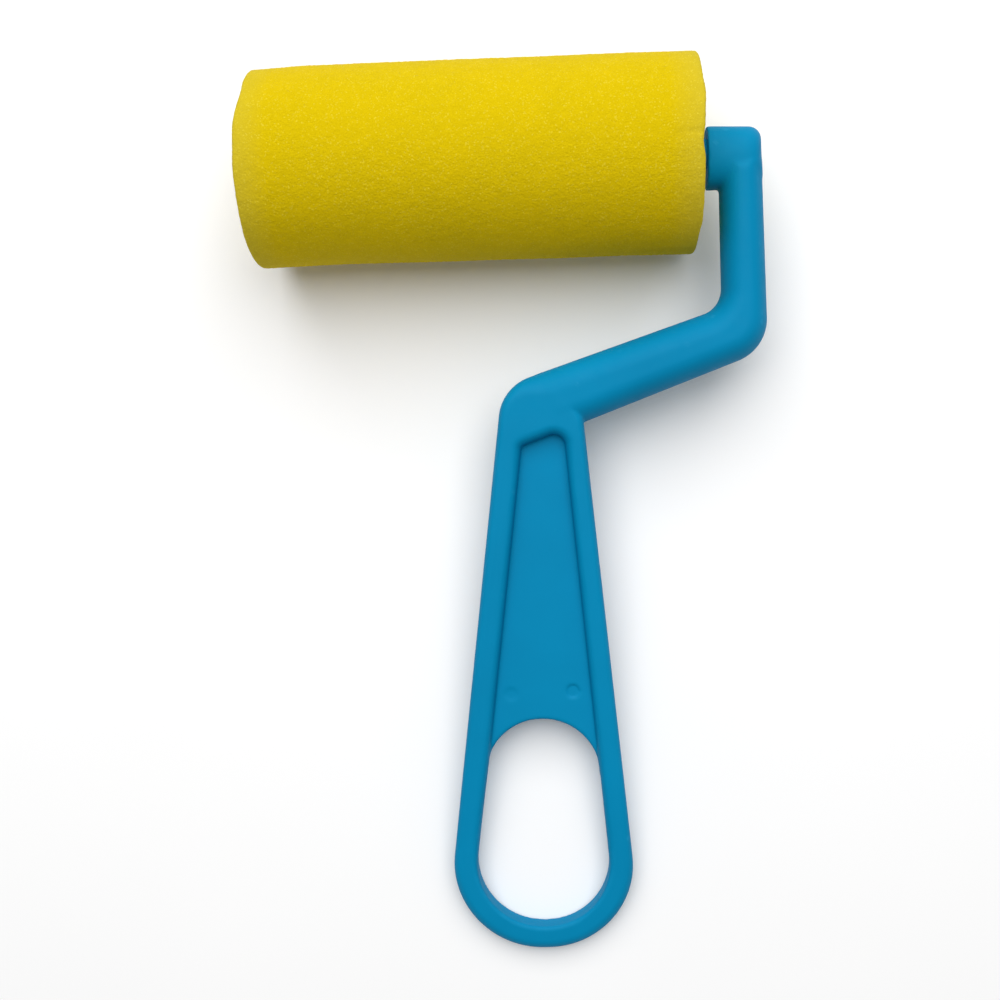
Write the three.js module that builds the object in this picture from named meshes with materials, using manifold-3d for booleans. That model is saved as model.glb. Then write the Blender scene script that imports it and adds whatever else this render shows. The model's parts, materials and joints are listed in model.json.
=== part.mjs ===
// A small foam paint roller: a moulded plastic handle with a finger loop, a stub arm that holds
// a fixed axle, and a foam sleeve on a core tube that spins on that axle.
//
// Millimetres. The axle lies along X, the handle runs back along -Y, and +Z is up. The tool
// lies on a table on its foam and on the tip of its loop, so the flat handle leans a few
// degrees. The handle is drawn in its own plane, from the middle of the roller: x along the
// axle, y up the handle and z through its thickness.

import * as THREE from "three";
import { mergeVertices } from "three/addons/utils/BufferGeometryUtils.js";
import Module from "manifold-3d";

const wasm = await Module();
wasm.setup();

// ---- Driving dimensions ----

const FIT_GAP = 0.2; // between pieces that touch or are glued
const RUNNING_GAP = 0.12; // radial, between the bushes and the axle
const ROUND_SIDES = 40;
const ARC_STEPS = 5; // half the straight pieces in each rounded corner of an outline

// The roller
const FOAM_LENGTH = 100;
const FOAM_RADIUS = 22.2;
const FOAM_CORNER = 1.2;
const FOAM_SIDES = 64;
const CORE_RADIUS = 10;
const CORE_WALL = 1.1;
const CORE_SETBACK = 1.6; // how far the core tube stops short of each end of the foam
const FLANGE_THICKNESS = 1.2;
const PLUG_SKIRT = 3.4;
const SKIRT_WALL = 1.3;

// The bushes, each a hub and a rim joined by a disc
const BUSH_LENGTH = 10;
const BUSH_HUB_RADIUS = 5;
const BUSH_RIM_WALL = 1.4;
const BUSH_DISC = 1.6;
const OUTER_BUSH_FACE = -40;

// The axle, with a thicker collar at the boss and a groove for the clip at its free end
const COLLAR_RADIUS = 3.2;
const JOURNAL_RADIUS = 2.8;
const AXLE_END = -44.6;
const AXLE_CHAMFER = 0.6;
const GROOVE_DEPTH = 0.7;
const WASHER_RADIUS = 6;
const CLIP_RADIUS = 4.9;
const CLIP_MOUTH = Math.PI / 3;
const SHEET_THICKNESS = 0.8; // of the washer and of the clip

// The handle, whose grip tapers in thickness from the head to the loop's tip
const HEAD_THICKNESS = 11.4;
const HEAD_TOP = -42;
const TIP_THICKNESS = 5.2;
const GRIP_EDGE = { width: 1.6, depth: 2.4 }; // at the head, and shallower towards the tip
const WEB_THICKNESS = 2.8;
const BAR_THICKNESS = 13.2;
const BAR_EDGE = { width: 4.4, depth: 6 };
const LOOP_TIP = -186.3;
const LOOP_TOP = { x: 12.5, y: -143.2, radius: 13.4 };
const BOSS_RADIUS = 7.1;
const BOSS_DROP = 1.15; // the boss's middle lies this far below the axle's
const BOSS_FACE = 52.4;
const BOSS_END = 64.45;
const BOSS_CORNER = 3.3;
const SOCKET_DEPTH = 8;
const EJECTOR_RADIUS = 1.7;
const EJECTOR_DEPTH = 0.3;
const EJECTOR_MARKS = [[5.4, -123.6], [20, -123.1]];

// The handle's straight edges: a point on each and its direction in degrees
const EDGE = {
  loopTip: line(0, LOOP_TIP, 0),
  gripLeft: line(-2.8, -113.1, 82.7),
  gripRight: line(28.4, -109.9, 95.3),
  headTop: line(10.5, -49.4, 17.2),
  headEnd: line(30, -45, 109),
  headBottom: line(23.76, -59.86, 23),
  holeTip: line(0, -180.4, 0),
  rimLeft: line(-1.75, -148.1, 83.1),
  rimRight: line(26.45, -148.1, 94.85),
  pocketTop: line(12, -63.9, 20),
  webLeft: line(-3.75, -148.1, 83.1),
  webRight: line(28.45, -148.1, 94.85),
  webTop: line(12, -61.9, 20),
  webBottom: line(0, LOOP_TOP.y, 0),
  barRoot: line(18, -55, 109),
  neckTop: line(34.7, -41.4, 18.2),
  neckBottom: line(41.4, -53.3, 20.4),
  armInner: line(55.4, -18.2, 90.8),
  armOuter: line(65.2, -16.2, 91.7),
  armTop: line(0, 5, 0),
};

// ---- Outlines ----

function line(x, y, degrees) {
  const angle = THREE.MathUtils.degToRad(degrees);
  const direction = new THREE.Vector2(Math.cos(angle), Math.sin(angle));
  return { point: new THREE.Vector2(x, y), direction };
}

// The corner where two edges meet, with the radius that rounds it
function corner(first, second, radius) {
  const apart = second.point.clone().sub(first.point);
  const distance = apart.cross(second.direction) / first.direction.cross(second.direction);
  return { at: first.point.clone().addScaledVector(first.direction, distance), radius };
}

// A closed outline through the corners, where each arc touches the two edges that it joins
function roundedOutline(corners) {
  const shape = new THREE.Shape();
  corners.forEach(({ at, radius }, i) => {
    const back = corners.at(i - 1).at.clone().sub(at).normalize();
    const ahead = corners[(i + 1) % corners.length].at.clone().sub(at).normalize();
    const halfAngle = Math.acos(back.dot(ahead)) / 2;
    const bisector = back.clone().add(ahead).normalize();
    const centre = at.clone().addScaledVector(bisector, radius / Math.sin(halfAngle));
    const reach = radius / Math.tan(halfAngle);
    const start = at.clone().addScaledVector(back, reach).sub(centre).angle();
    const end = at.clone().addScaledVector(ahead, reach).sub(centre).angle();
    shape.absarc(centre.x, centre.y, radius, start, end, back.cross(ahead) > 0);
  });
  shape.closePath();
  return shape;
}

// ---- Solids ----

// An outline made thick on both sides of z = 0, with elliptical rounded edges
function slab(shape, thickness, edge = { width: 0, depth: 0 }) {
  const geometry = new THREE.ExtrudeGeometry(shape, {
    depth: thickness - 2 * edge.depth,
    curveSegments: ARC_STEPS,
    bevelEnabled: edge.depth > 0,
    bevelThickness: edge.depth,
    bevelSize: edge.width,
    bevelOffset: -edge.width,
    bevelSegments: 3,
  });
  return geometry.translate(0, 0, edge.depth - thickness / 2);
}

// A solid turned about the X axis from [x, radius] points, with a flat facet facing down
function turned(profile, sides = ROUND_SIDES) {
  const points = profile.map(([x, radius]) => new THREE.Vector2(radius, x));
  return new THREE.LatheGeometry(points, sides).rotateY(Math.PI / sides).rotateZ(-Math.PI / 2);
}

// A tube or washer about the X axis
function ring(x0, x1, inner, outer) {
  return turned([[x0, inner], [x0, outer], [x1, outer], [x1, inner], [x0, inner]]);
}

function solid(geometry) {
  geometry.deleteAttribute("normal");
  geometry.deleteAttribute("uv");
  const merged = mergeVertices(geometry, 1e-4);
  const vertProperties = merged.attributes.position.array;
  const triVerts = Uint32Array.from(merged.index.array);
  return new wasm.Manifold(new wasm.Mesh({ numProp: 3, vertProperties, triVerts }));
}

function geometryOf(body) {
  const { vertProperties, triVerts } = body.getMesh();
  const geometry = new THREE.BufferGeometry();
  geometry.setAttribute("position", new THREE.BufferAttribute(vertProperties, 3));
  return geometry.setIndex(new THREE.BufferAttribute(triVerts, 1));
}

// ---- Materials ----

function plain(color, roughness, metalness = 0) {
  return new THREE.MeshStandardMaterial({ color, roughness, metalness });
}

const bluePlastic = plain("#0286b4", 0.45);
const whitePlastic = plain("#e8e6df", 0.5);
const yellowFoam = plain("#e0c60c", 0.95);
const steel = plain("#b4b6b9", 0.35, 1);

function piece(name, geometry, material) {
  const mesh = new THREE.Mesh(geometry, material);
  mesh.name = name;
  return mesh;
}

// ---- The handle ----

// The grip's thickness at a place along it, as a share of the head's
function taperAt(y) {
  return THREE.MathUtils.mapLinear(y, LOOP_TIP, HEAD_TOP, TIP_THICKNESS / HEAD_THICKNESS, 1);
}

function tapered(geometry) {
  const { position } = geometry.attributes;
  for (let i = 0; i < position.count; i++) {
    position.setZ(i, position.getZ(i) * taperAt(position.getY(i)));
  }
  return geometry;
}

// The head and the rounded rim: one closed frame around the pocket and the finger loop
function gripFrame() {
  const frame = roundedOutline([
    corner(EDGE.gripLeft, EDGE.loopTip, 20.8),
    corner(EDGE.loopTip, EDGE.gripRight, 20.8),
    corner(EDGE.gripRight, EDGE.headBottom, 0.8),
    corner(EDGE.headBottom, EDGE.headEnd, 3),
    corner(EDGE.headEnd, EDGE.headTop, 3),
    corner(EDGE.headTop, EDGE.gripLeft, 10.5),
  ]);
  frame.holes.push(roundedOutline([
    corner(EDGE.rimLeft, EDGE.holeTip, 15.5),
    corner(EDGE.holeTip, EDGE.rimRight, 15.5),
    corner(EDGE.rimRight, EDGE.pocketTop, 2.7),
    corner(EDGE.pocketTop, EDGE.rimLeft, 1.4),
  ]));
  return solid(tapered(slab(frame, HEAD_THICKNESS, GRIP_EDGE)));
}

// The thin wall that fills the frame down to the arched top of the loop
function web() {
  const wall = roundedOutline([
    corner(EDGE.webLeft, EDGE.webBottom, 0.5),
    corner(EDGE.webBottom, EDGE.webRight, 0.5),
    corner(EDGE.webRight, EDGE.webTop, 2),
    corner(EDGE.webTop, EDGE.webLeft, 2),
  ]);
  const { radius } = LOOP_TOP;
  const arch = new THREE.CylinderGeometry(radius, radius, 2 * WEB_THICKNESS, ROUND_SIDES);
  arch.rotateX(Math.PI / 2).translate(LOOP_TOP.x, LOOP_TOP.y, 0);
  return solid(slab(wall, WEB_THICKNESS)).subtract(solid(arch));
}

// The sloping neck, the elbow and the arm, in one bent bar
function bentBar() {
  return solid(slab(roundedOutline([
    corner(EDGE.barRoot, EDGE.neckBottom, 5),
    corner(EDGE.neckBottom, EDGE.armOuter, 9.9),
    corner(EDGE.armOuter, EDGE.armTop, 4.7),
    corner(EDGE.armTop, EDGE.armInner, 4.5),
    corner(EDGE.armInner, EDGE.neckTop, 5.9),
    corner(EDGE.neckTop, EDGE.barRoot, 5),
  ]), BAR_THICKNESS, BAR_EDGE));
}

// The round boss at the top of the arm, with a rounded outer end
function boss() {
  const profile = [[BOSS_FACE, 0], [BOSS_FACE, BOSS_RADIUS]];
  const steps = 4;
  for (let i = 0; i <= steps; i++) {
    const angle = (i / steps) * (Math.PI / 2);
    profile.push([
      BOSS_END - BOSS_CORNER * (1 - Math.sin(angle)),
      BOSS_RADIUS - BOSS_CORNER * (1 - Math.cos(angle)),
    ]);
  }
  profile.push([BOSS_END, 0]);
  return solid(turned(profile).translate(0, -BOSS_DROP, 0));
}

function socket() {
  const radius = COLLAR_RADIUS + FIT_GAP;
  const bottom = BOSS_FACE + SOCKET_DEPTH;
  return solid(turned([[BOSS_FACE - 1, 0], [BOSS_FACE - 1, radius], [bottom, radius], [bottom, 0]]));
}

// A shallow round mark that an ejector pin leaves in the web's upper face
function ejectorMark([x, y]) {
  const height = 2 * EJECTOR_DEPTH;
  const pin = new THREE.CylinderGeometry(EJECTOR_RADIUS, EJECTOR_RADIUS, height, ROUND_SIDES / 2);
  return solid(pin.rotateX(Math.PI / 2).translate(x, y, WEB_THICKNESS / 2));
}

function handle() {
  let body = gripFrame().add(web()).add(bentBar()).add(boss()).subtract(socket());
  for (const mark of EJECTOR_MARKS) {
    body = body.subtract(ejectorMark(mark));
  }
  return piece("handle", geometryOf(body), bluePlastic);
}

// ---- The axle and what is on it ----

const coreEnd = FOAM_LENGTH / 2 - CORE_SETBACK;
const flangeInnerFace = coreEnd + FIT_GAP;
const flangeOuterFace = flangeInnerFace + FLANGE_THICKNESS;
const washerX = OUTER_BUSH_FACE - FIT_GAP - SHEET_THICKNESS;
const clipX = washerX - FIT_GAP - SHEET_THICKNESS;

function axle() {
  const shoulder = flangeOuterFace + FIT_GAP;
  const grooveRadius = JOURNAL_RADIUS - GROOVE_DEPTH;
  const grooveStart = clipX - FIT_GAP;
  const grooveEnd = clipX + SHEET_THICKNESS + FIT_GAP;
  const socketEnd = BOSS_FACE + SOCKET_DEPTH - FIT_GAP;
  return piece("axle", turned([
    [AXLE_END, 0],
    [AXLE_END, JOURNAL_RADIUS - AXLE_CHAMFER],
    [AXLE_END + AXLE_CHAMFER, JOURNAL_RADIUS],
    [grooveStart, JOURNAL_RADIUS],
    [grooveStart, grooveRadius],
    [grooveEnd, grooveRadius],
    [grooveEnd, JOURNAL_RADIUS],
    [shoulder, JOURNAL_RADIUS],
    [shoulder, COLLAR_RADIUS],
    [socketEnd, COLLAR_RADIUS],
    [socketEnd, 0],
  ]), bluePlastic);
}

function washer() {
  const bore = JOURNAL_RADIUS + FIT_GAP;
  return piece("washer", ring(washerX, washerX + SHEET_THICKNESS, bore, WASHER_RADIUS), steel);
}

// A spring clip that snaps sideways into the axle's groove, open at the bottom
function retainingClip() {
  const inner = JOURNAL_RADIUS - GROOVE_DEPTH + FIT_GAP;
  const first = CLIP_MOUTH / 2;
  const last = 2 * Math.PI - first;
  const shape = new THREE.Shape();
  shape.absarc(0, 0, CLIP_RADIUS, first, last, false);
  shape.absarc(0, 0, inner, last, first, true);
  shape.closePath();
  const clip = new THREE.ExtrudeGeometry(shape, {
    depth: SHEET_THICKNESS,
    curveSegments: ROUND_SIDES / 2,
    bevelEnabled: false,
  });
  return piece("retaining_clip", clip.rotateY(Math.PI / 2).translate(clipX, 0, 0), steel);
}

// ---- The roller ----

const coreBore = CORE_RADIUS - CORE_WALL;
const plugFit = coreBore - FIT_GAP;
const flangeRadius = CORE_RADIUS - FIT_GAP / 2;

function coreTube() {
  return piece("core_tube", ring(-coreEnd, coreEnd, coreBore, CORE_RADIUS), whitePlastic);
}

// A bush whose mouth is at x = 0, with its body along -X and a flange along +X
function bush(flangeThickness) {
  const bore = JOURNAL_RADIUS + RUNNING_GAP;
  const rimInner = plugFit - BUSH_RIM_WALL;
  const flange = flangeThickness > 0
    ? [[0, flangeRadius], [flangeThickness, flangeRadius], [flangeThickness, bore]]
    : [[0, bore]];
  return turned([
    [-BUSH_LENGTH, bore],
    [-BUSH_LENGTH, BUSH_HUB_RADIUS],
    [-BUSH_DISC, BUSH_HUB_RADIUS],
    [-BUSH_DISC, rimInner],
    [-BUSH_LENGTH, rimInner],
    [-BUSH_LENGTH, plugFit],
    [0, plugFit],
    ...flange,
    [-BUSH_LENGTH, bore],
  ]);
}

function innerBush() {
  return piece("inner_bush", bush(FLANGE_THICKNESS).translate(flangeInnerFace, 0, 0), whitePlastic);
}

function outerBush() {
  const turnedRound = bush(0).rotateZ(Math.PI);
  return piece("outer_bush", turnedRound.translate(OUTER_BUSH_FACE, 0, 0), whitePlastic);
}

// The plug that closes the free end, a disc with a skirt that grips inside the core tube
function endPlug() {
  const skirtEnd = -flangeInnerFace + PLUG_SKIRT;
  return piece("end_plug", turned([
    [-flangeOuterFace, 0],
    [-flangeOuterFace, flangeRadius],
    [-flangeInnerFace, flangeRadius],
    [-flangeInnerFace, plugFit],
    [skirtEnd, plugFit],
    [skirtEnd, plugFit - SKIRT_WALL],
    [-flangeInnerFace, plugFit - SKIRT_WALL],
    [-flangeInnerFace, 0],
  ]), whitePlastic);
}

// The foam, with softly rounded ends
function foamSleeve() {
  const bore = CORE_RADIUS + FIT_GAP;
  const end = FOAM_LENGTH / 2;
  const steps = 3;
  const leftCorner = [];
  const rightCorner = [];
  for (let i = 0; i <= steps; i++) {
    const angle = (i / steps) * (Math.PI / 2);
    const x = end - FOAM_CORNER * (1 - Math.cos(angle));
    const radius = FOAM_RADIUS - FOAM_CORNER * (1 - Math.sin(angle));
    leftCorner.push([-x, radius]);
    rightCorner.unshift([x, radius]);
  }
  const profile = [[-end, bore], ...leftCorner, ...rightCorner, [end, bore], [-end, bore]];
  return piece("foam_sleeve", turned(profile, FOAM_SIDES), yellowFoam);
}

// ---- Assembly ----

// The lean at which the foam and the lower face of the loop's tip both touch the table
function handleLean() {
  const reach = -LOOP_TIP - GRIP_EDGE.width;
  const halfThickness = (taperAt(-reach) * HEAD_THICKNESS) / 2;
  const axleHeight = FOAM_RADIUS * Math.cos(Math.PI / FOAM_SIDES);
  return Math.asin(axleHeight / Math.hypot(reach, halfThickness)) - Math.atan2(halfThickness, reach);
}

const leaning = new THREE.Group();
leaning.rotation.x = handleLean();
leaning.add(handle());

const paintRoller = new THREE.Group();
paintRoller.add(leaning, axle(), washer(), retainingClip());
paintRoller.add(coreTube(), innerBush(), outerBush(), endPlug(), foamSleeve());

// The origin is on the table, in the middle of the tool's footprint
const extent = new THREE.Box3().setFromObject(paintRoller, true);
const middle = extent.getCenter(new THREE.Vector3());
paintRoller.position.set(-middle.x, -middle.y, -extent.min.z);

export default paintRoller;
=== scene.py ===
"""A small foam paint roller lying on a pale table: the finished surfaces around its CAD frame.

Shapes are worked out in millimetres and turned into metres when their mesh is made. The handle
is drawn in its own plane, from the middle of the roller: u along the axle, v up the handle and w
through its thickness. The roller's pieces are drawn about the axle.
"""

import json
import math

import bmesh
import bpy
import numpy as np
import openvdb
from mathutils import Matrix, Vector, noise


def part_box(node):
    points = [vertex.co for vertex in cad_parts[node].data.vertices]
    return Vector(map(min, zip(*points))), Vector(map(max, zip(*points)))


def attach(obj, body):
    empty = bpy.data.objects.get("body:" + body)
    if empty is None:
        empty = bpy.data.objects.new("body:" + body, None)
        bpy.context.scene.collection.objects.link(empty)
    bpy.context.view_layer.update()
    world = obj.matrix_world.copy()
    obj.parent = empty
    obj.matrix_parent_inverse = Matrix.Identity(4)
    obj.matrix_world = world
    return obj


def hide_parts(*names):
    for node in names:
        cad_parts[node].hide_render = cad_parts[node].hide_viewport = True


MM = 0.001

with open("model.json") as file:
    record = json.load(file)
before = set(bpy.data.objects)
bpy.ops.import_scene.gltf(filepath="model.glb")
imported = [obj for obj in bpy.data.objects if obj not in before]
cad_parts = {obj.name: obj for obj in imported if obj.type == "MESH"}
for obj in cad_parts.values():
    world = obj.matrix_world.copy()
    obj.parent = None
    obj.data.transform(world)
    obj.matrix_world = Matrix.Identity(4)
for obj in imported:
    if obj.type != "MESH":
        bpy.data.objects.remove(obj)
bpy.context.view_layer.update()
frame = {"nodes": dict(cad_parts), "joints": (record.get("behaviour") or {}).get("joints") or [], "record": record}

mounts = {mount["name"]: mount for mount in frame["record"]["mounts"]}
roller_spin = frame["joints"][0]
axle_centre = Vector(roller_spin["pos_m"])
web_normal = Vector(mounts["web_front"]["axis"])
lean = math.atan2(-web_normal.y, web_normal.z)
handle_place = Matrix.Translation(axle_centre) @ Matrix.Rotation(lean, 4, "X")
roller_place = Matrix.Translation(axle_centre)

# ---- Driving dimensions, in millimetres ----

# The axle's journal, and the gaps between pieces that are glued, that touch and that turn
JOURNAL_RADIUS = 2.8
GLUE_GAP = 0.15
FIT_GAP = 0.2
RUNNING_GAP = 0.12

# The foam and its core tube
foam_low, foam_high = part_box("foam_sleeve")
FOAM_LENGTH = (foam_high.x - foam_low.x) / MM
FOAM_RADIUS = (foam_high.y - foam_low.y) / 2 / MM
core_low, core_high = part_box("core_tube")
CORE_LENGTH = (core_high.x - core_low.x) / MM
CORE_RADIUS = 10
CORE_WALL = 1.1
FOAM_BORE = CORE_RADIUS + GLUE_GAP
FOAM_EDGE = 0.7  # how softly the cut edges are rounded
FOAM_STEP = 0.5  # between the points of its outline
FOAM_EDGE_STEPS = 4
FOAM_SIDES = 288
TURNED_SIDES = 128
SHARP_ANGLE = 35  # in degrees: turned pieces are shaded smooth across anything flatter

# How the foam strays from a true cylinder, along the axle or outward from it. A step is
# (distance, y where it starts, y where it is full), and a ridge is (height, y of its middle,
# width). A crease or a dent is a ridge turned inward. A reach is a distance from the cut end.
END_REACH = 9
FREE_END_STEPS = (
    (1.05, 3, 13),
    (-0.2, 13, 16),
    (-0.2, -1, -5),
    (0.15, -7, -12),
    (0.15, -18, -22),
)
ARM_END_STEP = (-0.5, -17, -21)
ARM_END_RIDGE = (0.37, 7.2, 3.6)
ARM_END_DENT = (-0.45, -2.8, 2.3)
DENT_RISE_Z = (6, 16)
CREASE = (-0.2, -1.1, 0.5)
CREASE_START_REACH = 6.5
CREASE_FULL_REACH = 2
FLARE = (0.32, -6, -18)
FLARE_REACH = 22
WORN_CORNER = (-0.5, 8, 18)
WORN_REACH = 14
WAVE_HEIGHT = 0.14
WAVE_LENGTH = 17
WAVES_AROUND = 1.7
CELL_HEIGHT = 0.16
CELL_SIZES = ((0.7, 0.6), (0.3, 2.3))  # share of the height, size
CELL_END_REACH = 0.6
PAINTED_SHEEN_REACH = 7  # how far in from its ends a duller, greyer tint is painted on the foam for its sheen
SWELL_MARGIN = 1  # the swelling fades over the cut faces, but for this much at either edge

# The plug and the bush, whose flanges lie just inside the ends of the foam
plug_low, plug_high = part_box("end_plug")
bush_low, bush_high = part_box("inner_bush")
FLANGE_THICKNESS = 1.2
FLANGE_OUTER = (bush_high.x - axle_centre.x) / MM
FLANGE_INNER = FLANGE_OUTER - FLANGE_THICKNESS
FLANGE_RADIUS = (plug_high.y - plug_low.y) / 2 / MM
PLUG_FIT = CORE_RADIUS - CORE_WALL - FIT_GAP
PLUG_SKIRT = (plug_high.x - plug_low.x) / MM - FLANGE_THICKNESS
SKIRT_WALL = 1.3
DIMPLE_DEPTH = 0.35
DIMPLE_RADIUS = 1.3
DIMPLE_DRAFT = 0.5
RING_DEPTH = 0.4
RING_INNER = 6
RING_OUTER = 7.2
RING_DRAFT = 0.4
BUSH_BORE = JOURNAL_RADIUS + RUNNING_GAP
BUSH_END = (bush_low.x - axle_centre.x) / MM
BUSH_DISC_THICKNESS = 1.6
BUSH_RIM_WALL = 1.4
BUSH_HUB_RADIUS = 5
MOULDED_EDGE = 0.25

# The axle
axle_low, axle_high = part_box("axle")
clip_low, clip_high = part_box("retaining_clip")
AXLE_END = (axle_low.x - axle_centre.x) / MM
SOCKET_END = (axle_high.x - axle_centre.x) / MM
COLLAR_RADIUS = 3.2
COLLAR_START = FLANGE_OUTER + FIT_GAP
GROOVE_START = (clip_low.x - axle_centre.x) / MM - FIT_GAP
GROOVE_END = (clip_high.x - axle_centre.x) / MM + FIT_GAP
GROOVE_RADIUS = 2.1
AXLE_EDGE = 0.3

# The handle: the ends of its grip, and its outlines' corners
LOOP_TIP = -186.4
HEAD_TOP = -42
LOOP_TIP_RADIUS = 20.8
LOOP_TOP = (12.5, -143.35)  # the middle of the arch
LOOP_TOP_RADIUS = 13.55
HOLE_TIP = -180.6
HOLE_TIP_RADIUS = 15.5
HEAD_OUTER_CORNER = 10.5
HEAD_INNER_CORNER = 6
POCKET_LEFT_CORNER = 1.4
POCKET_RIGHT_CORNER = 2.7
BAR_ROOT_CORNER = 4
ELBOW_OUTER = 9.9
ELBOW_INNER = 5.9
ARM_TOP_CORNER = 3

# The handle: its thicknesses, and the widths and depths of its rounded edges
HEAD_THICKNESS = 11.4
TIP_THICKNESS = 5.2
WEB_THICKNESS = 2.8
NECK_THICKNESS = 13.2
ARM_THICKNESS = 12.6
RIM_EDGE_WIDTH = 1.7
RIM_EDGE_SHARE = 0.45  # of half the thickness
TIP_EDGE_WIDTH = 2.6
TIP_EDGE_SHARE = 0.85
NECK_EDGE_WIDTH = 5.6  # the neck's and the arm's edges are half the thickness deep
ARM_EDGE_WIDTH = 4.7
HOLE_EDGE = 0.7
POCKET_EDGE_WIDTH = 1.9
POCKET_EDGE_DEPTH = 2
POCKET_TOP_EDGE_WIDTH = 2.5
POCKET_TOP_EDGE_DEPTH = 2.7
WEB_EDGE = 0.5
WEB_INSET = 1.5  # from the grip's outline, so that the rims hold the web's sides

# The handle: the stretches along u or v where one section turns into the next
TIP_TO_RIM_V = (-182, -150)
HOLE_TO_POCKET_V = (-166, -134)
HOLE_EDGE_TO_POCKET_V = (-172, -158)
POCKET_TO_TOP_V = (-76, -64)
RIM_TO_NECK_U = (4, 18)
RIM_TO_NECK_V = (-60, -52)
HEAD_TO_NECK_U = (17, 38)
NECK_TO_ARM_V = (-42, -30)

# The handle: its boss, fillets and ejector marks
BOSS_RADIUS = 7.05
BOSS_DRAFT = 0.036
BOSS_DROP = 1.15  # of its middle below the axle's
BOSS_FACE = 52.4
BOSS_CORNER = 2.6
BOSS_FACE_EDGE = 0.4
SOCKET_GAP = 0.1
SOCKET_DEPTH = 3
SOCKET_EDGE = 0.3
NECK_FILLET = 0.2
WEB_FILLET = 0.5
BOSS_FILLET = 0.5
EJECTOR_MARKS = ((5.4, -123.6, 0.17), (20, -123.1, 0.34))  # u, v, depth
EJECTOR_RADIUS = 1.45
EJECTOR_EDGE = 0.2
FIELD_LOW = (-13, -189, -9)  # a box that holds the whole handle
FIELD_HIGH = (69, 9, 9)
VOXEL = 0.42

# The camera, from the middle of the roller, and its turns in degrees
CAMERA_OFFSET = (19.25, -77.08, 290.1)
CAMERA_TURN_Y = 2.947
CAMERA_TURN_Z = -1.213
CAMERA_LENS = 46
CAMERA_SENSOR = 36

# The light and the floor, in metres
KEY_PLACE = (0, 0.46, 0.86)
KEY_SIZE = 1.2
KEY_WATTS = 14
WORLD_STRENGTH = 0.24
FLOOR_REACH = 3

# Colours, as linear red, green and blue
BLUE_DARK = (0, 0.216, 0.415)
BLUE_LIGHT = (0, 0.235, 0.45)
BLUE_WORN = (0.02, 0.30, 0.53)
WHITE_DARK = (0.70, 0.69, 0.65)
WHITE_LIGHT = (0.77, 0.76, 0.72)
WHITE_WORN = (0.82, 0.81, 0.78)
FOAM_DARK = (0.55, 0.385, 0.001)
FOAM_LIGHT = (0.72, 0.545, 0.003)
FOAM_CLUMP = (0.56, 0.41, 0.001)
FOAM_WARM = (0.67, 0.48, 0.001)
# painted sheen: a duller, greyer yellow for the foam's cut ends
FOAM_PAINTED_SHEEN = (0.50, 0.44, 0.06)
# painted glint: a brighter colour for a few small foam facets
FOAM_PAINTED_GLINT = (0.90, 0.78, 0.10)
STEEL_DARK = (0.50, 0.50, 0.49)
STEEL_LIGHT = (0.66, 0.66, 0.64)
CARD_DARK = (0.93, 0.93, 0.93)
CARD_LIGHT = (0.95, 0.95, 0.95)


# ---- Outlines ----

def edge(x, y, degrees):
    """A straight edge: a point on it and its direction."""
    angle = math.radians(degrees)
    return Vector((x, y)), Vector((math.cos(angle), math.sin(angle)))


# The handle's straight edges: a point on each, and its direction in degrees
EDGES = {
    "loop_tip": edge(0, LOOP_TIP, 0),
    "grip_left": edge(-2.8, -113.1, 82.7),
    "grip_right": edge(28.4, -109.9, 95.3),
    "head_top": edge(10.5, -49.4, 17.2),
    "bar_root": edge(11.5, -55, 109),
    "neck_top": edge(34.7, -41.4, 18.2),
    "neck_bottom": edge(41.4, -53.3, 20.4),
    "arm_inner": edge(55.4, -18.2, 90.8),
    "arm_outer": edge(65.2, -16.2, 91.7),
    "arm_top": edge(0, 0, 0),
    "hole_tip": edge(0, HOLE_TIP, 0),
    "rim_left": edge(-1.75, -148.1, 83.1),
    "rim_right": edge(26.45, -148.1, 94.85),
    "pocket_left": edge(1.72, -124, 82.75),
    "pocket_top": edge(12, -63.9, 20),
}
ARC_STEP = math.radians(3)


def corner(first, second):
    """The point where two named edges meet."""
    start, along = EDGES[first]
    other_start, other_along = EDGES[second]
    apart = other_start - start
    turn = along.x * other_along.y - along.y * other_along.x
    return start + along * ((apart.x * other_along.y - apart.y * other_along.x) / turn)


def rounded_outline(corners):
    """A closed outline through (first edge, second edge, radius) corners, each an arc."""
    places = [corner(first, second) for first, second, _ in corners]
    outline = []
    for i, (_, _, radius) in enumerate(corners):
        at = places[i]
        back = (places[i - 1] - at).normalized()
        ahead = (places[(i + 1) % len(places)] - at).normalized()
        half = back.angle(ahead) / 2
        centre = at + (back + ahead).normalized() * (radius / math.sin(half))
        start = at + back * (radius / math.tan(half)) - centre
        turn = math.pi - 2 * half
        if back.x * ahead.y - back.y * ahead.x > 0:
            turn = -turn
        steps = max(2, math.ceil(abs(turn) / ARC_STEP))
        for k in range(steps + 1):
            angle = math.atan2(start.y, start.x) + turn * k / steps
            x = centre.x + radius * math.cos(angle)
            outline.append((x, centre.y + radius * math.sin(angle)))
    return np.array(outline)


def outline_distance(u, v, outline):
    """Signed distance from each point to a closed outline, negative inside it."""
    shape = np.broadcast_shapes(u.shape, v.shape)
    nearest = np.full(shape, np.inf)
    inside = np.zeros(shape, bool)
    for (x0, y0), (x1, y1) in zip(outline, np.roll(outline, -1, axis=0)):
        dx, dy = x1 - x0, y1 - y0
        along = np.clip(((u - x0) * dx + (v - y0) * dy) / (dx * dx + dy * dy), 0, 1)
        nearest = np.minimum(nearest, np.hypot(u - x0 - along * dx, v - y0 - along * dy))
        if dy:
            inside ^= ((y0 > v) != (y1 > v)) & (u < x0 + (v - y0) * dx / dy)
    return np.where(inside, -nearest, nearest)


# ---- Distance fields ----

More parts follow.
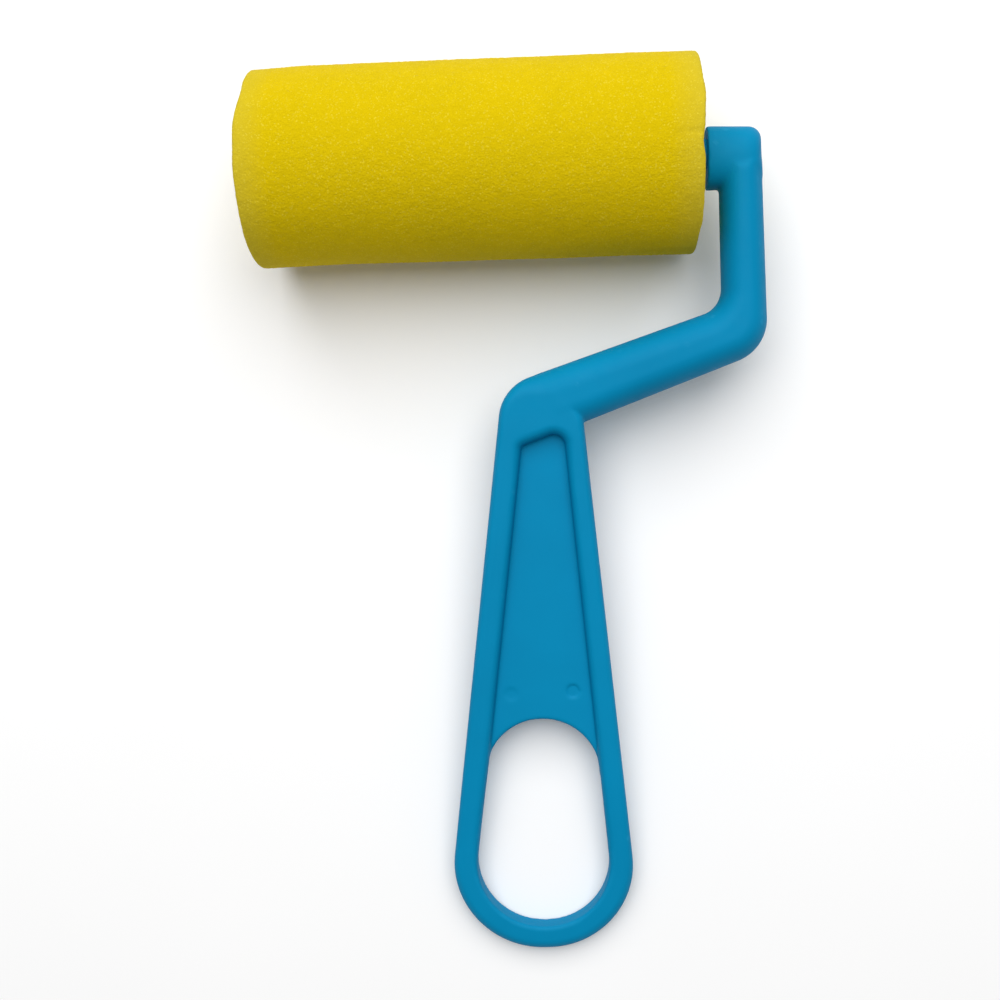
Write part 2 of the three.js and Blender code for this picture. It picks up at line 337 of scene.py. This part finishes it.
def smoothstep(x, start, end):
    """0 up to start, 1 from end on, and a smooth rise between them."""
    t = np.clip((x - start) / (end - start), 0, 1)
    return t * t * (3 - 2 * t)


def mix(a, b, share):
    """a where the share is 0, b where it is 1, and in proportion between them."""
    return a + (b - a) * share


def smooth_union(a, b, radius):
    """a and b joined, with a fillet between them."""
    h = np.clip(0.5 + 0.5 * (b - a) / radius, 0, 1)
    return b + (a - b) * h - radius * h * (1 - h)


def smooth_cut(a, b, radius):
    """a without b, with the edge rounded."""
    return -smooth_union(-a, b, radius)


def rounded_slab(side, w, half, edge_width, edge_depth):
    """A flat shape made thick, with elliptical rounded edges."""
    across = side + edge_width
    up = (np.abs(w) - half) * edge_width / edge_depth + edge_width
    outside = np.hypot(np.maximum(across, 0), np.maximum(up, 0))
    return outside + np.minimum(np.maximum(across, up), 0) - edge_width


def grip_half(v):
    """Half the grip's thickness, which tapers from the head to the loop's tip."""
    return mix(TIP_THICKNESS, HEAD_THICKNESS, (v - LOOP_TIP) / (HEAD_TOP - LOOP_TIP)) / 2


def grip_outline(u, v):
    """The outline of the head and of the rim around the web and the finger loop."""
    return outline_distance(u, v, rounded_outline([
        ("grip_left", "loop_tip", LOOP_TIP_RADIUS),
        ("loop_tip", "grip_right", LOOP_TIP_RADIUS),
        ("grip_right", "head_top", HEAD_INNER_CORNER),
        ("head_top", "grip_left", HEAD_OUTER_CORNER),
    ]))


def opening_with(left, u, v):
    """The finger loop and the pocket as one opening, with that edge as its left wall."""
    return outline_distance(u, v, rounded_outline([
        (left, "hole_tip", HOLE_TIP_RADIUS),
        ("hole_tip", "rim_right", HOLE_TIP_RADIUS),
        ("rim_right", "pocket_top", POCKET_RIGHT_CORNER),
        ("pocket_top", left, POCKET_LEFT_CORNER),
    ]))


def opening(u, v):
    """The finger loop, and above it the pocket, whose left wall stands a little further in."""
    pocket_share = smoothstep(v, *HOLE_TO_POCKET_V)
    return mix(opening_with("rim_left", u, v), opening_with("pocket_left", u, v), pocket_share)


def grip(u, v, w):
    """The head and the rim, whose outer edges are softer at the tip and beside the neck."""
    half = grip_half(v)
    rim = smoothstep(v, *TIP_TO_RIM_V)
    neck = smoothstep(u, *RIM_TO_NECK_U) * smoothstep(v, *RIM_TO_NECK_V)
    width = mix(mix(TIP_EDGE_WIDTH, RIM_EDGE_WIDTH, rim), NECK_EDGE_WIDTH, neck)
    depth = half * mix(mix(TIP_EDGE_SHARE, RIM_EDGE_SHARE, rim), 1, neck)
    outer = rounded_slab(grip_outline(u, v), w, half, width, depth)
    pocket = smoothstep(v, *HOLE_EDGE_TO_POCKET_V)
    top = smoothstep(v, *POCKET_TO_TOP_V)
    width = mix(mix(HOLE_EDGE, POCKET_EDGE_WIDTH, pocket), POCKET_TOP_EDGE_WIDTH, top)
    depth = mix(mix(HOLE_EDGE, POCKET_EDGE_DEPTH, pocket), POCKET_TOP_EDGE_DEPTH, top)
    inner = rounded_slab(-opening(u, v), w, half, width, depth)
    return np.maximum(outer, inner)


def web(u, v, w):
    """The thin wall inside the rims, which ends in the arch over the finger loop."""
    arch = LOOP_TOP_RADIUS - np.hypot(u - LOOP_TOP[0], v - LOOP_TOP[1])
    side = np.maximum(np.maximum(arch, LOOP_TOP[1] - v), grip_outline(u, v) + WEB_INSET)
    return rounded_slab(side, w, WEB_THICKNESS / 2, WEB_EDGE, WEB_EDGE)


def bar(u, v, w):
    """The neck, the elbow and the arm. At its root the neck is as thick as the head."""
    outline = outline_distance(u, v, rounded_outline([
        ("bar_root", "neck_bottom", BAR_ROOT_CORNER),
        ("neck_bottom", "arm_outer", ELBOW_OUTER),
        ("arm_outer", "arm_top", ARM_TOP_CORNER),
        ("arm_top", "arm_inner", ARM_TOP_CORNER),
        ("arm_inner", "neck_top", ELBOW_INNER),
        ("neck_top", "bar_root", BAR_ROOT_CORNER),
    ]))
    arm = smoothstep(v, *NECK_TO_ARM_V)
    full = mix(NECK_THICKNESS, ARM_THICKNESS, arm) / 2
    half = mix(grip_half(np.minimum(v, HEAD_TOP)), full, smoothstep(u, *HEAD_TO_NECK_U))
    return rounded_slab(outline, w, half, mix(NECK_EDGE_WIDTH, ARM_EDGE_WIDTH, arm), half)


def boss(u, v, w):
    """The round boss, drawn in a little toward its outer end, which runs on from the arm's side."""
    point, along = EDGES["arm_outer"]
    end = (u - point.x) * along.y - (v - point.y) * along.x
    round_side = np.hypot(v + BOSS_DROP, w) - BOSS_RADIUS + BOSS_DRAFT * (u - BOSS_FACE)
    arm_side = rounded_slab(end, w, BOSS_RADIUS, ARM_EDGE_WIDTH, BOSS_RADIUS)
    past_round = np.maximum(round_side + BOSS_CORNER, 0)
    past_arm = np.maximum(arm_side + BOSS_CORNER, 0)
    outside = np.hypot(past_round, past_arm)
    rounded = outside + np.minimum(np.maximum(round_side, arm_side), -BOSS_CORNER)
    return smooth_cut(rounded, u - BOSS_FACE, BOSS_FACE_EDGE)


def handle_field(u, v, w):
    """The whole moulding, with the axle's socket and the ejector marks cut out of it."""
    body = smooth_union(grip(u, v, w), bar(u, v, w), NECK_FILLET)
    body = smooth_union(body, web(u, v, w), WEB_FILLET)
    body = smooth_union(body, boss(u, v, w), BOSS_FILLET)
    socket = np.maximum(np.hypot(v, w) - COLLAR_RADIUS - SOCKET_GAP, u - BOSS_FACE - SOCKET_DEPTH)
    body = smooth_cut(body, socket, SOCKET_EDGE)
    for mark_u, mark_v, depth in EJECTOR_MARKS:
        round_side = np.hypot(u - mark_u, v - mark_v) - EJECTOR_RADIUS
        pin = np.maximum(round_side, WEB_THICKNESS / 2 - depth - w)
        body = smooth_cut(body, pin, EJECTOR_EDGE)
    return body


# ---- Meshes ----

def mesh_object(name, vertices, faces, place):
    """A smooth-shaded object from millimetre vertices, set in the row frame."""
    mesh = bpy.data.meshes.new(name)
    mesh.from_pydata(vertices, [], faces)
    mesh.transform(place @ Matrix.Scale(MM, 4))
    mesh.shade_smooth()
    piece = bpy.data.objects.new(name, mesh)
    bpy.context.scene.collection.objects.link(piece)
    return piece


def weld(mesh):
    """Joins the points that meet on the axis, and keeps hard edges hard."""
    same_place = MM / 1000
    shape = bmesh.new()
    shape.from_mesh(mesh)
    bmesh.ops.remove_doubles(shape, verts=shape.verts, dist=same_place)
    shape.to_mesh(mesh)
    shape.free()
    mesh.set_sharp_from_angle(angle=math.radians(SHARP_ANGLE))


def turned_piece(name, profile, sides=TURNED_SIDES):
    """A piece turned about the axle from a closed loop of (x, radius) points, either way round."""
    following = profile[1:] + profile[:1]
    area = sum(x0 * r1 - x1 * r0 for (x0, r0), (x1, r1) in zip(profile, following))
    if area < 0:
        profile = profile[::-1]
    vertices = []
    for k in range(sides):
        angle = 2 * math.pi * k / sides
        vertices += [(x, r * math.cos(angle), r * math.sin(angle)) for x, r in profile]
    count = len(profile)
    faces = []
    for k in range(sides):
        this = k * count
        after = (k + 1) % sides * count
        for i in range(count):
            j = (i + 1) % count
            faces.append((this + i, after + i, after + j, this + j))
    piece = mesh_object(name, vertices, faces, roller_place)
    weld(piece.data)
    return piece


def rounded_profile(points, radius, steps=4):
    """A closed (x, radius) profile with its corners, but for those on the axis, made round."""
    side_share = 2.2  # leaves a little of each side straight between its two corners
    rounded = []
    for i, at in enumerate(points):
        at = Vector(at)
        back = Vector(points[i - 1]) - at
        ahead = Vector(points[(i + 1) % len(points)]) - at
        reach = min(radius, back.length / side_share, ahead.length / side_share)
        if at.y == 0:
            reach = 0
        start = at + back.normalized() * reach
        end = at + ahead.normalized() * reach
        for k in range(steps + 1 if reach else 1):
            t = k / steps
            rounded.append(tuple((1 - t) ** 2 * start + 2 * t * (1 - t) * at + t * t * end))
    return rounded


# ---- Materials ----

# The Mix node's sockets for colours, by number because their names repeat
MIX_FACTOR = 0
MIX_FIRST = 6
MIX_SECOND = 7
MIX_RESULT = 2


def opaque(colour):
    """A (red, green, blue) colour with its alpha, or a colour's socket as it is."""
    return colour if isinstance(colour, bpy.types.NodeSocket) else (*colour, 1)


class Finish:
    """A material being made: its tree, its shader, and the place of each point in metres."""

    def __init__(self, name):
        self.material = bpy.data.materials.new(name)
        self.material.use_nodes = True
        self.tree = self.material.node_tree
        self.shader = self.tree.nodes["Principled BSDF"]
        self.place = self.tree.nodes.new("ShaderNodeTexCoord").outputs["Object"]

    def node(self, kind, inputs, **settings):
        """A new node with its settings, and with its inputs set or linked."""
        node = self.tree.nodes.new("ShaderNode" + kind)
        for name, value in settings.items():
            setattr(node, name, value)
        self.feed(node, inputs)
        return node

    def feed(self, node, inputs):
        """Sets or links the node's inputs, by name or by number."""
        for name, value in inputs.items():
            if isinstance(value, bpy.types.NodeSocket):
                self.tree.links.new(value, node.inputs[name])
            else:
                node.inputs[name].default_value = value

    def noise(self, size, detail=2, roughness=0.5):
        """A noise from 0 to 1 whose blobs are about that size, in millimetres."""
        scale = 1 / (size * MM)
        inputs = {"Vector": self.place, "Scale": scale, "Detail": detail, "Roughness": roughness}
        return self.node("TexNoise", inputs).outputs["Fac"]

    def cell_pattern(self, size, output):
        """An output of a pattern of cells of about that size, in millimetres."""
        inputs = {"Vector": self.place, "Scale": 1 / (size * MM)}
        return self.node("TexVoronoi", inputs).outputs[output]

    def calculate(self, operation, *values):
        """The result of arithmetic on the values."""
        return self.node("Math", dict(enumerate(values)), operation=operation).outputs[0]

    def remap(self, value, low, high, new_low=0, new_high=1):
        """The value with low to high stretched over new_low to new_high, and no further."""
        inputs = {
            "Value": value,
            "From Min": low,
            "From Max": high,
            "To Min": new_low,
            "To Max": new_high,
        }
        return self.node("MapRange", inputs).outputs["Result"]

    def spread(self, noise, new_low=0, new_high=1):
        """A noise stretched so that the range most of it lies in fills new_low to new_high."""
        return self.remap(noise, 0.3, 0.7, new_low, new_high)

    def blend(self, factor, first, second):
        """A mix of two colours."""
        inputs = {MIX_FACTOR: factor, MIX_FIRST: opaque(first), MIX_SECOND: opaque(second)}
        return self.node("Mix", inputs, data_type="RGBA").outputs[MIX_RESULT]

    def bump(self, height, depth, under=None):
        """Turns a height from 0 to 1 into bumps that many millimetres high."""
        inputs = {"Height": height, "Distance": depth * MM, "Strength": 1}
        if under:
            inputs["Normal"] = under
        return self.node("Bump", inputs).outputs["Normal"]


def plastic(name, dark, light, worn, roughness):
    """Moulded plastic: a fine satin grain, slow unevenness, and edges rubbed paler."""
    finish = Finish(name)
    tone = finish.noise(22, detail=3)
    grain = finish.noise(0.35, detail=3)
    ripple = finish.noise(9)
    scuff = finish.noise(3, detail=6, roughness=0.7)
    body = finish.blend(finish.spread(tone), dark, light)
    pointiness = finish.node("NewGeometry", {}).outputs["Pointiness"]
    on_edge = finish.remap(pointiness, 0.51, 0.58)
    rubbed = finish.calculate("MULTIPLY", on_edge, finish.remap(scuff, 0.4, 0.7, 0, 0.5))
    finish.feed(finish.shader, {
        "Base Color": finish.blend(rubbed, body, worn),
        "Roughness": finish.spread(scuff, roughness - 0.06, roughness + 0.08),
        "Specular IOR Level": 0.07,
        "Normal": finish.bump(grain, 0.012, finish.bump(ripple, 0.06)),
    })
    return finish.material


def foam_finish():
    """Open-cell foam: small cut cells, glossier facets with painted glints, and a painted sheen tint at the ends.
    """
    finish = Finish("yellow_foam")
    cells = finish.cell_pattern(0.55, "Distance")
    strands = finish.noise(0.24, detail=3, roughness=0.7)
    clumps = finish.noise(2.4, detail=3)
    tone = finish.noise(14, detail=2)
    height = finish.calculate("MULTIPLY_ADD", cells, 0.6, strands)
    shade = finish.blend(finish.spread(strands), FOAM_DARK, FOAM_LIGHT)
    mottled = finish.blend(finish.remap(clumps, 0.35, 0.7, 0, 0.35), shade, FOAM_CLUMP)
    warm = finish.blend(finish.spread(tone, 0, 0.5), mottled, FOAM_WARM)
    x = finish.node("SeparateXYZ", {"Vector": finish.place}).outputs["X"]
    from_middle = finish.calculate("ABSOLUTE", finish.calculate("SUBTRACT", x, axle_centre.x))
    end = FOAM_LENGTH / 2 * MM
    # Painted sheen: near either cut end the colour turns duller and greyer.
    near_end = finish.remap(from_middle, end - PAINTED_SHEEN_REACH * MM, end, 0, 0.35)
    painted_sheen = finish.blend(near_end, warm, FOAM_PAINTED_SHEEN)
    # Painted glints: a few small facets get a brighter colour, and a lower roughness that is real.
    facets = finish.cell_pattern(0.26, "Color")
    chance = finish.node("SeparateColor", {"Color": facets}).outputs[0]
    glossy_facet_painted_glint = finish.remap(chance, 0.9, 0.97, 0, 0.24)
    finish.feed(finish.shader, {
        "Base Color": finish.blend(glossy_facet_painted_glint, painted_sheen, FOAM_PAINTED_GLINT),
        "Roughness": finish.remap(glossy_facet_painted_glint, 0, 1, 0.95, 0.6),
        "Specular IOR Level": 0.04,
        "Sheen Weight": 0.08,
        "Sheen Roughness": 0.3,
        "Sheen Tint": (1, 1, 0.7, 1),
        "Normal": finish.bump(height, 0.13),
    })
    return finish.material


def steel_finish():
    """Plain zinc-plated sheet steel, with a fine grain and a faint bloom."""
    finish = Finish("plated_steel")
    cloud = finish.noise(1.5, detail=4)
    grain = finish.noise(0.08, detail=2)
    finish.feed(finish.shader, {
        "Metallic": 1,
        "Base Color": finish.blend(cloud, STEEL_DARK, STEEL_LIGHT),
        "Roughness": finish.spread(cloud, 0.28, 0.42),
        "Normal": finish.bump(grain, 0.004),
    })
    return finish.material


def floor_finish():
    """Pale matt card."""
    finish = Finish("pale_card")
    tone = finish.noise(60, detail=2)
    finish.feed(finish.shader, {
        "Base Color": finish.blend(tone, CARD_DARK, CARD_LIGHT),
        "Roughness": 0.9,
        "Specular IOR Level": 0,
    })
    return finish.material


# ---- The pieces ----

def dress(piece, material):
    """Gives a piece its material."""
    piece.data.materials.clear()
    piece.data.materials.append(material)


def stand_in(piece, node, body):
    """Has a piece take the place of a CAD node and ride on that node's body."""
    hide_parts(node)
    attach(piece, body)
    return piece


def make_handle():
    """The moulded handle, as the surface where its distance field is zero."""
    low = np.array(FIELD_LOW, float)
    counts = np.ceil((np.array(FIELD_HIGH) - low) / VOXEL).astype(int)
    u, v, w = (start + VOXEL * np.arange(count) for start, count in zip(low, counts))
    field = handle_field(u[:, None, None], v[None, :, None], w[None, None, :])
    grid = openvdb.FloatGrid(4 * VOXEL)
    grid.copyFromArray(np.broadcast_to(field, counts).astype(np.float32))
    points, quads = grid.convertToQuads(isovalue=0)
    return mesh_object("moulded_handle", points * VOXEL + low, quads.tolist(), handle_place)


def make_axle():
    """The fixed axle: a journal with a groove for the clip, and a collar that runs into the boss."""
    return turned_piece("axle_pin", rounded_profile([
        (AXLE_END, 0),
        (AXLE_END, JOURNAL_RADIUS),
        (GROOVE_START, JOURNAL_RADIUS),
        (GROOVE_START, GROOVE_RADIUS),
        (GROOVE_END, GROOVE_RADIUS),
        (GROOVE_END, JOURNAL_RADIUS),
        (COLLAR_START, JOURNAL_RADIUS),
        (COLLAR_START, COLLAR_RADIUS),
        (SOCKET_END, COLLAR_RADIUS),
        (SOCKET_END, 0),
    ], AXLE_EDGE))


def make_core():
    """The stiff tube inside the foam."""
    end = CORE_LENGTH / 2
    bore = CORE_RADIUS - CORE_WALL
    return turned_piece("core_sleeve", rounded_profile([
        (-end, bore),
        (-end, CORE_RADIUS),
        (end, CORE_RADIUS),
        (end, bore),
    ], MOULDED_EDGE))


def make_inner_bush():
    """The bush at the arm, with the flange that shows between the foam and the boss."""
    disc = FLANGE_INNER - BUSH_DISC_THICKNESS
    rim_inner = PLUG_FIT - BUSH_RIM_WALL
    return turned_piece("flanged_bush", rounded_profile([
        (BUSH_END, BUSH_BORE),
        (BUSH_END, BUSH_HUB_RADIUS),
        (disc, BUSH_HUB_RADIUS),
        (disc, rim_inner),
        (BUSH_END, rim_inner),
        (BUSH_END, PLUG_FIT),
        (FLANGE_INNER, PLUG_FIT),
        (FLANGE_INNER, FLANGE_RADIUS),
        (FLANGE_OUTER, FLANGE_RADIUS),
        (FLANGE_OUTER, BUSH_BORE),
    ], MOULDED_EDGE))


def make_end_plug():
    """The plug in the free end, with a ring groove and a shallow dimple at its gate mark."""
    skirt_end = -FLANGE_INNER + PLUG_SKIRT
    skirt_bore = PLUG_FIT - SKIRT_WALL
    outer = -FLANGE_OUTER
    return turned_piece("closing_plug", rounded_profile([
        (outer + DIMPLE_DEPTH, 0),
        (outer + DIMPLE_DEPTH, DIMPLE_RADIUS),
        (outer, DIMPLE_RADIUS + DIMPLE_DRAFT),
        (outer, RING_INNER - RING_DRAFT),
        (outer + RING_DEPTH, RING_INNER),
        (outer + RING_DEPTH, RING_OUTER),
        (outer, RING_OUTER + RING_DRAFT),
        (outer, FLANGE_RADIUS),
        (-FLANGE_INNER, FLANGE_RADIUS),
        (-FLANGE_INNER, PLUG_FIT),
        (skirt_end, PLUG_FIT),
        (skirt_end, skirt_bore),
        (-FLANGE_INNER, skirt_bore),
        (-FLANGE_INNER, 0),
    ], MOULDED_EDGE))


def step_at(y, distance, start, full):
    """A step's height at y."""
    return distance * smoothstep(y, start, full)


def ridge_at(y, height, middle, width):
    """A ridge's height at y."""
    return height * math.exp(-((y - middle) / width) ** 2)


def cut_cells(place):
    """How far the fine roughness of the cut cells stands out or, for the most part, sinks in."""
    rough = sum(share * noise.noise(place / size) for share, size in CELL_SIZES)
    return CELL_HEIGHT * rough - CELL_HEIGHT / 2


def end_shift(place):
    """How far the cut ends stray along x, as hand-cut and handled foam does."""
    near_end = smoothstep(abs(place.x), FOAM_LENGTH / 2 - END_REACH, FOAM_LENGTH / 2)
    if place.x < 0:
        return near_end * sum(step_at(place.y, *step) for step in FREE_END_STEPS)
    dent = ridge_at(place.y, *ARM_END_DENT) * smoothstep(place.z, *DENT_RISE_Z)
    ridge = ridge_at(place.y, *ARM_END_RIDGE)
    return near_end * (ridge + step_at(place.y, *ARM_END_STEP) + dent)


def swell(place, angle):
    """How far the round surface strays outward: slow waves, a flare, a worn corner and a crease."""
    end = FOAM_LENGTH / 2
    around = (WAVES_AROUND * math.cos(angle), WAVES_AROUND * math.sin(angle))
    waves = WAVE_HEIGHT * noise.noise(Vector((place.x / WAVE_LENGTH, *around)))
    flare = step_at(place.y, *FLARE) * smoothstep(-place.x, end - FLARE_REACH, end)
    worn = step_at(place.y, *WORN_CORNER) * smoothstep(-place.x, end - WORN_REACH, end)
    crease = 0
    if place.z > 0:
        near_arm = smoothstep(place.x, end - CREASE_START_REACH, end - CREASE_FULL_REACH)
        crease = ridge_at(place.y, *CREASE) * near_arm
    return waves + flare + worn + crease


def foam_profile():
    """The closed (x, radius) outline of a true sleeve, in steps fine enough to bend."""
    end = FOAM_LENGTH / 2
    face_steps = int((FOAM_RADIUS - FOAM_EDGE - FOAM_BORE) / FOAM_STEP)
    right = [(end, FOAM_BORE + FOAM_STEP * k) for k in range(face_steps)]
    for k in range(FOAM_EDGE_STEPS + 1):
        angle = math.pi / 2 * k / FOAM_EDGE_STEPS
        x = end - FOAM_EDGE * (1 - math.cos(angle))
        right.append((x, FOAM_RADIUS - FOAM_EDGE * (1 - math.sin(angle))))
    side_steps = round((FOAM_LENGTH - 2 * FOAM_EDGE) / FOAM_STEP)
    side = [(end - FOAM_EDGE - FOAM_STEP * k, FOAM_RADIUS) for k in range(1, side_steps)]
    left = [(-x, radius) for x, radius in reversed(right)]
    return right + side + left


def make_foam():
    """The foam sleeve, each point of which strays a little from the true round."""
    foam = turned_piece("foam_cover", foam_profile(), FOAM_SIDES)
    end = FOAM_LENGTH / 2
    for vertex in foam.data.vertices:
        place = (vertex.co - axle_centre) / MM
        angle = math.atan2(place.z, place.y)
        radius = math.hypot(place.y, place.z)
        outward = Vector((0, math.cos(angle), math.sin(angle)))
        on_round = smoothstep(radius, FOAM_BORE + SWELL_MARGIN, FOAM_RADIUS - SWELL_MARGIN)
        on_end = smoothstep(abs(place.x), end - CELL_END_REACH, end)
        cells = cut_cells(place)
        along = Vector((end_shift(place) + on_end * math.copysign(cells, place.x), 0, 0))
        vertex.co += (along + outward * on_round * (swell(place, angle) + cells)) * MM
    return foam


# ---- The stage ----

def make_camera():
    """The camera, at the photograph's angle."""
    camera = bpy.data.objects.new("camera", bpy.data.cameras.new("camera"))
    camera.data.sensor_width = CAMERA_SENSOR
    camera.data.lens = CAMERA_LENS
    place = Matrix.Translation(axle_centre + Vector(CAMERA_OFFSET) * MM)
    turn_y = Matrix.Rotation(math.radians(CAMERA_TURN_Y), 4, "Y")
    turn_z = Matrix.Rotation(math.radians(CAMERA_TURN_Z), 4, "Z")
    camera.matrix_world = place @ turn_y @ turn_z
    bpy.context.scene.collection.objects.link(camera)
    bpy.context.scene.camera = camera


def make_floor():
    """A plain pale floor at z = 0."""
    mesh = bpy.data.meshes.new("floor")
    signs = ((-1, -1), (1, -1), (1, 1), (-1, 1))
    corners = [(x * FLOOR_REACH, y * FLOOR_REACH, 0) for x, y in signs]
    mesh.from_pydata(corners, [], [(0, 1, 2, 3)])
    mesh.materials.append(floor_finish())
    floor = bpy.data.objects.new("floor", mesh)
    bpy.context.scene.collection.objects.link(floor)


def area_light(name, place, size, watts):
    """A square light that faces the middle of the floor."""
    light = bpy.data.lights.new(name, "AREA")
    light.size = size
    light.energy = watts
    lamp = bpy.data.objects.new(name, light)
    lamp.location = place
    lamp.rotation_euler = (-Vector(place)).to_track_quat("-Z", "Y").to_euler()
    bpy.context.scene.collection.objects.link(lamp)


def make_light():
    """An even white surround, and one large soft light above and beyond the roller."""
    world = bpy.data.worlds.new("studio")
    world.use_nodes = True
    background = world.node_tree.nodes["Background"]
    background.inputs["Color"].default_value = (1, 1, 1, 1)
    background.inputs["Strength"].default_value = WORLD_STRENGTH
    bpy.context.scene.world = world
    area_light("key", KEY_PLACE, KEY_SIZE, KEY_WATTS)


bpy.context.scene.view_settings.view_transform = "Standard"
make_camera()
make_floor()
make_light()

blue = plastic("blue_plastic", BLUE_DARK, BLUE_LIGHT, BLUE_WORN, roughness=0.55)
white = plastic("white_plastic", WHITE_DARK, WHITE_LIGHT, WHITE_WORN, roughness=0.5)
steel = steel_finish()

dress(stand_in(make_handle(), "handle", "handle"), blue)
dress(stand_in(make_axle(), "axle", "handle"), blue)
dress(frame["nodes"]["washer"], steel)
dress(frame["nodes"]["retaining_clip"], steel)
dress(stand_in(make_core(), "core_tube", "roller"), white)
dress(stand_in(make_inner_bush(), "inner_bush", "roller"), white)
dress(frame["nodes"]["outer_bush"], white)
dress(stand_in(make_end_plug(), "end_plug", "roller"), white)

foam = stand_in(make_foam(), "foam_sleeve", "roller")
dress(foam, foam_finish())
